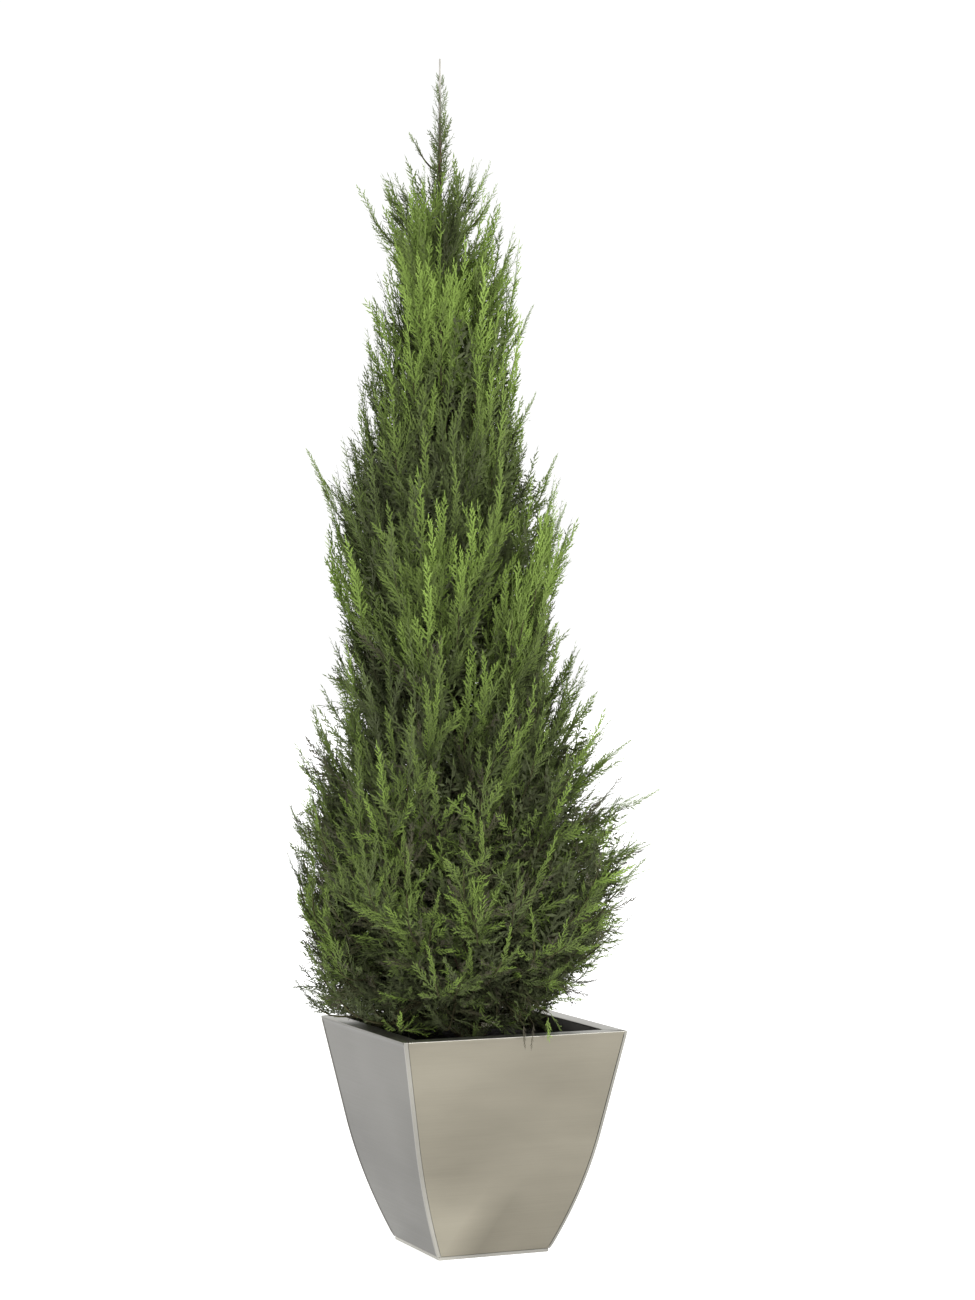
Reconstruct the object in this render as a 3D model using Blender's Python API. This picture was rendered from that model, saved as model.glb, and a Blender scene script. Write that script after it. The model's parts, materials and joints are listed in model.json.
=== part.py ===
"""Potted conical conifer: an unclipped, feathery cypress in a square planter of brushed steel.

Metres, +Z up. The origin is the centre of the planter's flat underside. The front panel faces -Y and the
left panel faces -X. Bearings of the crown are counted anticlockwise, in degrees, from the crown's right
side, which lies at CROWN_RIGHT in the planter's frame. The tree leans a little towards bearing 180.
"""

import math

import bmesh
import bpy
from mathutils import Vector, noise

GAP = 0.0003  # left between two solids that touch

# Planter
PLANTER_TOP = 0.400
PLANTER_FOOT = 0.200
PLANTER_HEIGHT = 0.378
BEND_SHARE = 0.55  # the panels are rolled up to this share of the height, and flat above it
FOOT_SLOPE = 1.69  # how fast the width grows at the foot, as a multiple of its mean growth
PLATE = 0.006  # thickness of the base plate
PLATE_BEVEL = 0.0012
SHEET = 0.002  # thickness of the panels
RECESS = 0.0015  # how far a panel lies behind its corner posts
POST = 0.007  # width of a corner post
POST_ROUND = 0.0028
POST_FACETS = 3
RIM_WIDTH = 0.032  # the panels' tops are folded inwards by this much, and mitred at the corners
HEM = 0.006  # height of the folded edge, which lies flush with the posts
RIM_ROUND = 0.0010
WALL_LEVELS = 14

# Compost
SOIL_DEPTH_BELOW_RIM = 0.034
SOIL_MOUND = 0.012
FLAT_AROUND_TRUNK = 0.045
SOIL_SIDE_POINTS = 3  # points along each side of the compost, between its cut corners
SOIL_RINGS = (0.72, 0.45)  # rings of points on its top, as shares of its outline
SOIL_LUMP = 0.004

# Trunk
TREE_TOP = 2.010
TRUNK_RADIUS = 0.0165
TIP_RADIUS = 0.0014
ROOT_FLARE = 0.009
FLARE_HEIGHT = 0.030
FLARE_STEPS = (0, 0.2, 0.45, 0.75)
FLARE_LOBES = 5
FLARE_LOBE_DEPTH = 0.35
TRUNK_SIDES = 14
TRUNK_LEVELS = 16
TRUNK_TAPER = 0.85
LEAN = 0.053  # sideways distance from foot to tip, towards bearing 180
LEAN_FROM = 0.35
LEAN_TO = 1.65

# Crown
CROWN_RIGHT = math.radians(-23.4)
GROOVE = 0.17  # how far the crown pulls in between two masses, as a share of its radius
UNEVEN = 0.08
MASS_GAP = 0.0002  # each mass stays this far inside its share of the crown
CROWN_OUTLINE = (  # height, radius on the left, radius on the right
    (0.385, 0.262, 0.172),
    (0.480, 0.277, 0.225),
    (0.600, 0.292, 0.271),
    (0.690, 0.300, 0.276),
    (0.790, 0.257, 0.243),
    (0.920, 0.219, 0.211),
    (1.060, 0.187, 0.170),
    (1.170, 0.186, 0.192),
    (1.280, 0.160, 0.176),
    (1.400, 0.130, 0.143),
    (1.530, 0.122, 0.132),
    (1.670, 0.112, 0.127),
    (1.760, 0.108, 0.090),
    (1.830, 0.050, 0.040),
    (1.900, 0.016, 0.012),
    (1.990, 0.003, 0.003),
)
# The crown is divided by level rays from the trunk, numbered anticlockwise from the crown's right side.
RAYS = 40
# The tiers of foliage from the bottom: name, height of the top edge at the crown's outside, the rays where
# its masses begin, distance of their inner faces from the trunk's axis, slope of the top edge towards the
# outside, and how much that edge rises and falls.
TIERS = (
    ("skirt", 0.590, (2, 10, 17, 26, 33), 0.095, 0.10, 0.030),
    ("lower", 0.850, (6, 13, 22, 30, 38), 0.090, 0.35, 0.045),
    ("middle", 1.130, (1, 9, 18, 25, 34), 0.070, 0.60, 0.045),
    ("upper", 1.420, (5, 15, 25, 36), 0.050, 0.90, 0.050),
    ("shoulder", 1.650, (0, 11, 20, 31), 0.010, 1.20, 0.040),
    ("top", 1.800, (6, 16, 25, 36), 0.008, 0.20, 0.000),
)
SKIRT_BOTTOM = 0.384
SKIRT_DROOP = -0.04
TIERS_WITH_BOUGHS = 4
# Every mass ends in a point that stands out a little. Some are long shoots, given here by tier and number
# with the grid row that is drawn out, and the height and reach of the tip.
POINT_RISE = 0.040
POINT_OUT = 0.020
LONG_SHOOTS = {
    ("lower", 2): (6, 0.897, 0.270),
    ("lower", 5): (4, 0.785, 0.336),
    ("middle", 3): (6, 1.350, 0.234),
    ("upper", 2): (5, 1.395, 0.150),
    ("upper", 4): (4, 1.345, 0.192),
    ("top", 2): (6, 1.800, 0.134),
    ("top", 4): (6, 1.836, 0.082),
}
ROWS = 7  # grid rows of a mass from its bottom edge to its top edge

# Spire round the top of the trunk
SPIRE_TOP = 1.975
SPIRE_SHARE = 0.62
SPIRE_SIDES = 10
SPIRE_LEVELS = 7

# Boughs
BOUGH_SHARE = 0.42  # radius of a bough at its root, as a share of the trunk's radius there
BOUGH_TAPER = 0.65
BOUGH_SIDES = 8
BOUGH_STAGGER = 0.022


def smooth(t):
    t = min(1.0, max(0.0, t))
    return t * t * (3 - 2 * t)


def remove_everything():
    for old in list(bpy.data.objects):
        bpy.data.objects.remove(old, do_unlink=True)


def material(name, colour, roughness, metallic=0.0):
    made = bpy.data.materials.new(name)
    made.use_nodes = True
    made.diffuse_color = (*colour, 1.0)
    shader = made.node_tree.nodes["Principled BSDF"]
    shader.inputs["Base Color"].default_value = (*colour, 1.0)
    shader.inputs["Roughness"].default_value = roughness
    shader.inputs["Metallic"].default_value = metallic
    return made


def solid(name, points, faces, finish, parent, round_edges=False):
    """One closed mesh object from its points and faces, with its faces turned outwards."""
    mesh = bpy.data.meshes.new(name)
    mesh.from_pydata([tuple(p) for p in points], [], faces)
    work = bmesh.new()
    work.from_mesh(mesh)
    bmesh.ops.recalc_face_normals(work, faces=work.faces)
    work.to_mesh(mesh)
    work.free()
    if round_edges:
        mesh.shade_smooth()
        mesh.set_sharp_from_angle(angle=math.radians(40))
    mesh.materials.append(finish)
    made = bpy.data.objects.new(name, mesh)
    made.parent = parent
    bpy.context.scene.collection.objects.link(made)
    return made


def loft(rings):
    """Points and faces of a closed body through rings of equal length, with a flat cap at each end."""
    count = len(rings[0])
    points = [p for ring in rings for p in ring]
    faces = []
    for level in range(len(rings) - 1):
        low, high = level * count, (level + 1) * count
        for i in range(count):
            j = (i + 1) % count
            faces.append((low + i, low + j, high + j, high + i))
    faces.append(tuple(range(count)))
    faces.append(tuple(range(len(points) - count, len(points))))
    return points, faces


# ---------------------------------------------------------------- planter


def half_width(z):
    """Half the planter's outside width at a height: rolled at the foot, then straight to the rim."""
    t = min(1.0, max(0.0, z / PLANTER_HEIGHT))
    top_slope = (1 - FOOT_SLOPE * BEND_SHARE / 2) / (1 - BEND_SHARE / 2)
    if t < BEND_SHARE:
        grown = FOOT_SLOPE * t - (FOOT_SLOPE - top_slope) * t * t / (2 * BEND_SHARE)
    else:
        bend = (FOOT_SLOPE + top_slope) * BEND_SHARE / 2
        grown = bend + top_slope * (t - BEND_SHARE)
    return (PLANTER_FOOT + (PLANTER_TOP - PLANTER_FOOT) * grown) / 2


def levels(low, high):
    return [low + (high - low) * i / WALL_LEVELS for i in range(WALL_LEVELS + 1)]


def turned(points, quarter):
    """Points turned about +Z by a number of quarter turns."""
    c, s = ((1, 0), (0, 1), (-1, 0), (0, -1))[quarter % 4]
    return [Vector((c * p.x - s * p.y, s * p.x + c * p.y, p.z)) for p in points]


def panel_section():
    """Pairs of points on the panel's outer and inner skin, as distance from the axis and height."""
    top, mouth = PLANTER_HEIGHT, PLANTER_TOP / 2
    pairs = []
    for z in levels(PLATE + GAP, top - HEM):
        skin = half_width(z) - RECESS
        pairs.append(((skin, z), (skin - SHEET, z)))
    lower, upper = top - HEM + RECESS, top - RIM_ROUND
    inside = mouth - RECESS - SHEET
    pairs.append(((half_width(lower), lower), (half_width(lower) - RECESS - SHEET, lower)))
    pairs.append(((mouth, upper), (inside, upper - SHEET)))
    pairs.append(((mouth - RIM_ROUND, top), (inside - RIM_ROUND, top - SHEET)))
    for reach in (mouth - POST, mouth - RIM_WIDTH):
        pairs.append(((reach, top), (reach, top - SHEET)))
    return pairs


def panel(name, quarter, steel, parent):
    """A rolled sheet between two posts, with its top folded in. Quarter 0 is the front, facing -Y."""
    rings = []
    for pair in panel_section():
        ends = [min(half_width(z) - POST, distance) - GAP for distance, z in pair]
        (outer, outer_z), (inner, inner_z) = pair
        ring = (
            Vector((-ends[0], -outer, outer_z)),
            Vector((ends[0], -outer, outer_z)),
            Vector((ends[1], -inner, inner_z)),
            Vector((-ends[1], -inner, inner_z)),
        )
        rings.append(turned(ring, quarter))
    points, faces = loft(rings)
    solid(name, points, faces, steel, parent, round_edges=True)


def corner_post(name, quarter, steel, parent):
    """A square bar with a rounded outer edge that follows the planter's corner."""
    rings = []
    for z in levels(PLATE + GAP, PLANTER_HEIGHT):
        outer = half_width(z)
        centre = outer - POST_ROUND
        ring = [Vector((-outer + POST, -outer + POST, z)), Vector((-outer, -outer + POST, z))]
        for step in range(POST_FACETS + 1):
            a = math.pi + math.pi / 2 * step / POST_FACETS
            edge = Vector((math.cos(a), math.sin(a), 0)) * POST_ROUND
            ring.append(Vector((-centre, -centre, z)) + edge)
        ring.append(Vector((-outer + POST, -outer, z)))
        rings.append(turned(ring, quarter))
    points, faces = loft(rings)
    solid(name, points, faces, steel, parent, round_edges=True)


def square(half, z):
    return [Vector((x * half, y * half, z)) for x, y in ((-1, -1), (1, -1), (1, 1), (-1, 1))]


def base_plate(steel, parent):
    foot = PLANTER_FOOT / 2
    rings = [
        square(foot - PLATE_BEVEL, 0.0),
        square(foot, PLATE_BEVEL),
        square(foot, PLATE - PLATE_BEVEL),
        square(foot - PLATE_BEVEL / 2, PLATE),
    ]
    points, faces = loft(rings)
    solid("planter_base", points, faces, steel, parent)


def soil_outline(z):
    """The compost's edge at a height: the planter's inside with its corners cut off at the posts."""
    side = half_width(z) - RECESS - SHEET - GAP
    cut = 2 * side - 2 * (half_width(z) - POST) + 2 * GAP
    ring = []
    for quarter in range(4):
        run = []
        for i in range(SOIL_SIDE_POINTS + 1):
            x = -side + cut + (2 * side - 2 * cut) * i / SOIL_SIDE_POINTS
            run.append(Vector((x, -side, z)))
        ring.extend(turned(run, quarter))
    return ring


def soil_surface():
    return PLANTER_HEIGHT - SOIL_DEPTH_BELOW_RIM + SOIL_MOUND


def compost(finish, parent):
    """Potting compost that fills the planter, with a mounded top that is flat where the trunk stands."""
    edge = PLANTER_HEIGHT - SOIL_DEPTH_BELOW_RIM
    low = PLATE + GAP
    rings = [soil_outline(z) for z in levels(low, edge)]
    border = rings[-1]
    for share in SOIL_RINGS:
        ring = []
        for p in border:
            rise = SOIL_MOUND * smooth(1.4 * (1 - share))
            lump = SOIL_LUMP * noise.noise(Vector((p.x, p.y, share)) * 14)
            ring.append(Vector((p.x * share, p.y * share, edge + rise + lump)))
        rings.append(ring)
    flat = [p.xy.normalized() * FLAT_AROUND_TRUNK for p in border]
    rings.append([Vector((p.x, p.y, soil_surface())) for p in flat])
    points, faces = loft(rings)
    solid("potting_compost", points, faces, finish, parent)


# ---------------------------------------------------------------- trunk


def direction(bearing):
    """Level unit vector at a crown bearing in degrees."""
    a = CROWN_RIGHT + math.radians(bearing)
    return Vector((math.cos(a), math.sin(a), 0.0))


def trunk_axis(z):
    """Centre of the trunk at a height."""
    shift = LEAN * smooth((z - LEAN_FROM) / (LEAN_TO - LEAN_FROM))
    return direction(180) * shift + Vector((0, 0, z))


def trunk_foot():
    return soil_surface() + GAP


def trunk_radius(z):
    share = (z - trunk_foot()) / (TREE_TOP - trunk_foot())
    return TRUNK_RADIUS + (TIP_RADIUS - TRUNK_RADIUS) * min(1.0, max(0.0, share)) ** TRUNK_TAPER


def trunk(bark, parent):
    """The leader, whole from its flat cut in the compost to the tip, with a lobed root flare."""
    foot = trunk_foot()
    heights = [foot + FLARE_HEIGHT * t for t in FLARE_STEPS]
    above = foot + FLARE_HEIGHT
    heights += [above + (TREE_TOP - above) * i / TRUNK_LEVELS for i in range(TRUNK_LEVELS + 1)]
    rings = []
    for z in heights:
        spread = ROOT_FLARE * max(0.0, 1 - (z - foot) / FLARE_HEIGHT) ** 2
        ring = []
        for i in range(TRUNK_SIDES):
            a = 2 * math.pi * i / TRUNK_SIDES
            lobe = spread * (1 - FLARE_LOBE_DEPTH * (1 - math.cos(FLARE_LOBES * a)))
            radius = trunk_radius(z) + lobe
            ring.append(trunk_axis(z) + Vector((math.cos(a), math.sin(a), 0)) * radius)
        rings.append(ring)
    points, faces = loft(rings)
    solid("trunk", points, faces, bark, parent, round_edges=True)


# ---------------------------------------------------------------- crown


def crown_radius(z, bearing):
    """The crown's outline: how far foliage reaches from the trunk at a height and bearing."""
    rows = CROWN_OUTLINE
    z = min(rows[-1][0], max(rows[0][0], z))
    for low, high in zip(rows, rows[1:]):
        if z <= high[0]:
            break
    t = smooth((z - low[0]) / (high[0] - low[0]))
    left = low[1] + (high[1] - low[1]) * t
    right = low[2] + (high[2] - low[2]) * t
    return (left + right) / 2 + (right - left) / 2 * math.cos(math.radians(bearing))


class TierEdge:
    """The surface between two tiers: a cone round the trunk's axis whose outer edge rises and falls."""

    def __init__(self, outer_height, starts, slope, swing):
        mean_radius = (crown_radius(outer_height, 0) + crown_radius(outer_height, 180)) / 2
        self.apex = outer_height - slope * mean_radius
        self.rise = [slope - swing / mean_radius] * RAYS
        for first, last in sectors(starts):
            for ray in range(first, last):
                peak = math.sin(math.pi * (ray - first) / (last - first))
                self.rise[ray % RAYS] += 2 * swing / mean_radius * peak

    def point(self, ray, radius, clear):
        """The point at a distance from the axis, moved up or down by clear."""
        axis = trunk_axis(self.apex)
        height = self.apex + radius * self.rise[ray % RAYS] + clear
        return Vector((axis.x, axis.y, height)) + direction(ray * 360 / RAYS) * radius


def sectors(starts):
    """The first and last ray of each mass in a tier."""
    return list(zip(starts, starts[1:] + (starts[0] + RAYS,)))


def bulge(u, v):
    """1 in the middle of a mass, and less towards its edges."""
    swell = (math.sin(math.pi * u) * math.sin(math.pi * (0.06 + 0.88 * v))) ** 0.45
    return 1 - GROOVE * (1 - swell)


def outside(below, above, ray, v, shape, inner):
    """Where a ray between two tier edges comes out of the crown, found by halving."""
    near, far = inner * 1.25, 0.6
    for _ in range(24):
        radius = (near + far) / 2
        here = below.point(ray, radius, MASS_GAP).lerp(above.point(ray, radius, -MASS_GAP), v)
        lump = 1 + UNEVEN * noise.noise(here * 17)
        if radius < crown_radius(here.z, ray * 360 / RAYS) * shape * lump:
            near = radius
        else:
            far = radius
    return here


def mass(name, below, above, first, last, inner, tip, leaf, parent):
    """One mass of foliage: uneven outside and hollowed towards the trunk, between two tier edges."""
    across = last - first
    outer_grid, inner_grid = {}, {}
    for i in range(across + 1):
        ray = first + i
        clearance = MASS_GAP if i == 0 else -MASS_GAP if i == across else 0
        sideways = direction(ray * 360 / RAYS + 90) * clearance
        foot = below.point(ray, inner, MASS_GAP)
        head = above.point(ray, inner, -MASS_GAP)
        for j in range(ROWS + 1):
            v = j / ROWS
            outer_grid[i, j] = outside(below, above, ray, v, bulge(i / across, v), inner) + sideways
            inner_grid[i, j] = foot.lerp(head, v) + sideways
    half = across // 2
    outward = direction((first + half) * 360 / RAYS)
    if tip:
        row, height, reach = tip
        goal = trunk_axis(height) + outward * reach
    else:
        row = ROWS - 1
        goal = outer_grid[half, ROWS] + outward * POINT_OUT + Vector((0, 0, POINT_RISE))
    pulls = {(0, 0): 1.0, (0, -1): 0.45, (-1, 0): 0.12, (1, 0): 0.12, (0, -2): 0.15}
    for (across_by, up_by), pull in pulls.items():
        key = (half + across_by, row + up_by)
        outer_grid[key] = outer_grid[key].lerp(goal, pull)
    border = [(i, 0) for i in range(across)]
    border += [(across, j) for j in range(ROWS)]
    border += [(i, ROWS) for i in range(across, 0, -1)]
    border += [(0, j) for j in range(ROWS, 0, -1)]
    points = list(outer_grid.values()) + [inner_grid[key] for key in border]
    outer = {key: n for n, key in enumerate(outer_grid)}
    inside = {key: len(outer) + n for n, key in enumerate(border)}
    faces = []
    for i in range(across):
        for j in range(ROWS):
            faces.append((outer[i, j], outer[i + 1, j], outer[i + 1, j + 1], outer[i, j + 1]))
        left = [inside[0, j] for j in range(ROWS, 0, -1)] if i == 0 else [inside[i, ROWS]]
        right = [inside[across, j] for j in range(ROWS)] if i == across - 1 else [inside[i + 1, 0]]
        faces.append((*left, inside[i, 0], *right, inside[i + 1, ROWS]))
    for a, b in zip(border, border[1:] + border[:1]):
        faces.append((outer[a], inside[a], inside[b], outer[b]))
    solid(name, points, faces, leaf, parent)


def leave_trunk(start, along):
    """Where the line from a point inside the trunk comes out, just clear of the bark."""
    point = start.copy()
    for _ in range(12):
        off = (point - trunk_axis(point.z)).xy
        short = trunk_radius(point.z) + 2 * GAP - off.length
        point += along * short
    return point


def bough(name, below, above, first, last, inner, rise, bark, parent):
    """One limb from the trunk's bark to the hollow inner face of its mass."""
    middle = (first + last) // 2
    foot, head = below.point(middle, inner, 0), above.point(middle, inner, 0)
    end = (foot + head) / 2
    upward = (head - foot).normalized()
    facing = direction(middle * 360 / RAYS)
    facing = (facing - upward * facing.dot(upward)).normalized()
    root = trunk_axis(end.z - rise)
    along = (end - root).normalized()
    side = along.cross(Vector((0, 0, 1))).normalized()
    up = side.cross(along)
    thick = trunk_radius(root.z) * BOUGH_SHARE
    thin = thick * BOUGH_TAPER
    rings = [[], [], []]
    for i in range(BOUGH_SIDES):
        a = 2 * math.pi * i / BOUGH_SIDES
        spoke = side * math.cos(a) + up * math.sin(a)
        rings[0].append(leave_trunk(root + spoke * thick, along))
        rings[1].append(root.lerp(end, 0.55) + spoke * (thick + thin) / 2)
        last_point = end + spoke * thin
        short = (end - last_point).dot(facing) - thin * math.tan(math.pi / RAYS) - GAP
        rings[2].append(last_point + along * (short / along.dot(facing)))
    points, faces = loft(rings)
    faces.pop(-2)  # the root end follows the bark, so its cap is a fan
    points.append(leave_trunk(root, along))
    for i in range(BOUGH_SIDES):
        faces.append((i, (i + 1) % BOUGH_SIDES, len(points) - 1))
    solid(name, points, faces, bark, parent, round_edges=True)


def spire(seat, leaf, parent):
    """The feathery sleeve of foliage round the top of the trunk, which stands out of it."""
    outer, inner = [], []
    for level in range(SPIRE_LEVELS + 1):
        z = seat.apex + (SPIRE_TOP - seat.apex) * level / SPIRE_LEVELS
        sleeve, bore = [], []
        for i in range(SPIRE_SIDES):
            ray = i * RAYS // SPIRE_SIDES
            hole = trunk_radius(z - 0.1) + 2 * GAP
            lump = 1 + 0.25 * noise.noise(direction(ray * 360 / RAYS) * 2 + Vector((0, 0, z * 40)))
            reach = max(hole + 0.0012, SPIRE_SHARE * crown_radius(z, 90) * lump)
            for ring, radius in ((sleeve, reach), (bore, hole)):
                base = seat.point(ray, radius, GAP)
                ring.append(base + trunk_axis(z) - trunk_axis(seat.apex))
        outer.append(sleeve)
        inner.append(bore)
    rings = outer + inner[::-1]
    points = [p for ring in rings for p in ring]
    faces = []
    for row in range(len(rings)):
        low, high = row * SPIRE_SIDES, (row + 1) % len(rings) * SPIRE_SIDES
        for i in range(SPIRE_SIDES):
            j = (i + 1) % SPIRE_SIDES
            faces.append((low + i, low + j, high + j, high + i))
    solid("foliage_spire", points, faces, leaf, parent)


def crown(leaf, bark, parent):
    below = TierEdge(SKIRT_BOTTOM, TIERS[0][2], SKIRT_DROOP, 0.0)
    for number, (tier, top, starts, inner, slope, swing) in enumerate(TIERS):
        above = TierEdge(top, starts, slope, swing)
        for k, (first, last) in enumerate(sectors(starts), 1):
            tip = LONG_SHOOTS.get((tier, k))
            mass(f"foliage_{tier}_{k}", below, above, first, last, inner, tip, leaf, parent)
            if number < TIERS_WITH_BOUGHS:
                rise = inner * (0.25 + 0.30 * number) + BOUGH_STAGGER * (k % 2 - 0.5)
                bough(f"bough_{tier}_{k}", below, above, first, last, inner, rise, bark, parent)
        below = above
    spire(below, leaf, parent)


def main():
    remove_everything()
    stand = bpy.data.objects.new("planter_underside", None)
    bpy.context.scene.collection.objects.link(stand)
    steel = material("brushed_steel", (0.52, 0.50, 0.45), 0.32, 1.0)
    earth = material("compost", (0.035, 0.026, 0.020), 0.95)
    bark = material("bark", (0.16, 0.095, 0.060), 0.85)
    leaf = material("foliage", (0.075, 0.150, 0.028), 0.60)
    for quarter, side in enumerate(("front", "right", "back", "left")):
        panel(f"planter_panel_{side}", quarter, steel, stand)
        corner_post(f"planter_post_{quarter + 1}", quarter, steel, stand)
    base_plate(steel, stand)
    compost(earth, stand)
    trunk(bark, stand)
    crown(leaf, bark, stand)


main()
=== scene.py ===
import bisect
import json
import random
from math import atan2, cos, degrees, pi, radians, sin

import bmesh
import bpy
from mathutils import Matrix, Quaternion, Vector, noise

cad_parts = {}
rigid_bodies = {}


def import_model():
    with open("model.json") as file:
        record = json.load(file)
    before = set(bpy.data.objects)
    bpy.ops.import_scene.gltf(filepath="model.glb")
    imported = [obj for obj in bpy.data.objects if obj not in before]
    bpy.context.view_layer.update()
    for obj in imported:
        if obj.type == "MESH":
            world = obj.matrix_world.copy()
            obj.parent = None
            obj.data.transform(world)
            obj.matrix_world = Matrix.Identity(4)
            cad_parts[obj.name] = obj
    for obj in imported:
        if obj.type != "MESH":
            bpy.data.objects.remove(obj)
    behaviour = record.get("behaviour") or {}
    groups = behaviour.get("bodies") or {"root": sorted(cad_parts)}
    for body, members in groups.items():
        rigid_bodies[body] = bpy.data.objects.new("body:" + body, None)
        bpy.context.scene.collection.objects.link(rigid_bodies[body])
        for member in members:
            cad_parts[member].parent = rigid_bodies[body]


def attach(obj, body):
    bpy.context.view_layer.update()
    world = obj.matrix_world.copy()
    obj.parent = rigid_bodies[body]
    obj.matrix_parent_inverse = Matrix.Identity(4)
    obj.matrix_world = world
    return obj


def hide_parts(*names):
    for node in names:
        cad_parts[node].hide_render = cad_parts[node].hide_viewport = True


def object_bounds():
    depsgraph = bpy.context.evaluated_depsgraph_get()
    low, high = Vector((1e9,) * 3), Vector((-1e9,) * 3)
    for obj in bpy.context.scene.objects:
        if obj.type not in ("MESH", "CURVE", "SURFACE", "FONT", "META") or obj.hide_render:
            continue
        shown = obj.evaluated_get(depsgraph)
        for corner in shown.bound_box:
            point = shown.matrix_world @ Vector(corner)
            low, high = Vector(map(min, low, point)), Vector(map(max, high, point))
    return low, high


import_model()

cad_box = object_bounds()
UP = Vector((0, 0, 1))


# ---------------- planter panels
# Four trapezoids of stainless sheet, rolled to a curve at the foot and brushed from side to side. The top is
# folded inwards as a flange, and its hem stands level with the corner posts. The seams are welded inside.

MOUTH = 0.400  # outside width at the rim
FOOT = 0.200
HEIGHT = 0.378
BEND_SHARE = 0.55  # the sheet is rolled up to this share of the height, and flat above it
FOOT_SLOPE = 1.69  # how fast the width grows at the foot, as a multiple of its mean growth
PLATE = 0.006  # height of the foot tray
SHEET = 0.002
RECESS = 0.0006  # how far a panel lies behind its posts
EDGE_GAP = 0.0009  # between a panel and the bars and foot it is welded behind
POST = 0.0056
SEAM = 0.0003
FLANGE = 0.032
LIP = MOUTH / 2 - FLANGE  # from the planter's axis to the rim's inner edge
HEM = 0.006
EDGE_ROUND = 0.0012
EASE = 0.0006  # by how much a cut edge is eased
PANEL_ROWS = 72
PANEL_COLUMNS = 48
DENT = 0.0005  # how far thin sheet wanders from a true surface
PALE_BELOW = 0.150  # the foot is paler, from the floor's light
HEM_TOP = 0.3768  # the rim's turned edge lies above this height, and gets a painted highlight
PAINTED_RIM_HIGHLIGHT = (0.36, 0.35, 0.315, 1)


class Value:
    """The output of a node, which Python's operators work on by adding Math nodes."""

    def __init__(self, nodes, socket):
        self.nodes = nodes
        self.socket = socket

    def math(self, operation, first, second):
        return self.nodes.add("ShaderNodeMath", {0: first, 1: second}, operation=operation)

    def __add__(self, other):
        return self.math("ADD", self, other)

    def __mul__(self, other):
        return self.math("MULTIPLY", self, other)

    def __sub__(self, other):
        return self.math("SUBTRACT", self, other)

    def __rsub__(self, other):
        return self.math("SUBTRACT", other, self)

    __radd__ = __add__
    __rmul__ = __mul__


class Nodes:
    """A node tree. Its add method sets a new node's settings, and then the values or links of its inputs."""

    def __init__(self, tree):
        self.tree = tree

    def add(self, kind, inputs=None, output=0, **settings):
        node = self.tree.nodes.new(kind)
        for key, value in settings.items():
            if key == "stops":
                ramp = node.color_ramp.elements
                while len(ramp) < len(value):
                    ramp.new(1.0)
                for stop, (position, colour) in zip(ramp, value):
                    stop.position, stop.color = position, (*colour, 1)
            else:
                setattr(node, key, value)
        for key, value in (inputs or {}).items():
            if isinstance(value, Value):
                self.tree.links.new(value.socket, node.inputs[key])
            else:
                node.inputs[key].default_value = value
        return Value(self, node.outputs[output])

    def axis(self, vector, number):
        """One coordinate of a vector, counted from 0 for x."""
        return self.add("ShaderNodeSeparateXYZ", {0: vector}, output=number)


class Finish(Nodes):
    """A material with one Principled shader. Constants go to the shader's own sockets."""

    def __init__(self, name, constants):
        self.material = bpy.data.materials.new(name)
        self.material.use_nodes = True
        super().__init__(self.material.node_tree)
        self.shader = self.tree.nodes["Principled BSDF"]
        for key, value in constants.items():
            self.shader.inputs[key].default_value = value

    def drive(self, socket, value):
        self.tree.links.new(value.socket, self.shader.inputs[socket])

    def place(self, scale=(1, 1, 1)):
        """Object coordinates in metres, stretched by a scale."""
        coordinates = self.add("ShaderNodeTexCoord", output="Object")
        return self.add("ShaderNodeMapping", {"Vector": coordinates, "Scale": scale})

    def noise(self, scale, detail=3.0, roughness=0.5, stretch=(1, 1, 1)):
        sockets = {"Vector": self.place(stretch), "Scale": scale, "Detail": detail, "Roughness": roughness}
        return self.add("ShaderNodeTexNoise", sockets)

    def ramp(self, value, *stops):
        return self.add("ShaderNodeValToRGB", {"Fac": value}, stops=stops)

    def blend(self, share, first, second):
        return self.add("ShaderNodeMix", {0: share, 6: first, 7: second}, output=2, data_type="RGBA")

    def clamp(self, value):
        return self.add("ShaderNodeClamp", {"Value": value})

    def relief(self, height, distance, strength=1.0):
        sockets = {"Height": height, "Distance": distance, "Strength": strength}
        self.drive("Normal", self.add("ShaderNodeBump", sockets))


def in_scene(name, data):
    """An object at the origin."""
    thing = bpy.data.objects.new(name, data)
    bpy.context.scene.collection.objects.link(thing)
    return thing


def make_object(name, points, faces, finish):
    """A mesh object with its faces turned outwards."""
    mesh = bpy.data.meshes.new(name)
    mesh.from_pydata([tuple(p) for p in points], [], faces)
    work = bmesh.new()
    work.from_mesh(mesh)
    bmesh.ops.recalc_face_normals(work, faces=work.faces)
    work.to_mesh(mesh)
    work.free()
    mesh.shade_smooth()
    mesh.set_sharp_from_angle(angle=radians(35))
    mesh.materials.append(finish.material)
    return in_scene(name, mesh)


def settle(piece, slot, *nodes):
    """Attaches a finished piece to the root body and hides the solids it stands for. Its material slot is not
    used.
    """
    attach(piece, "root")
    if nodes:
        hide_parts(*nodes)


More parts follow.
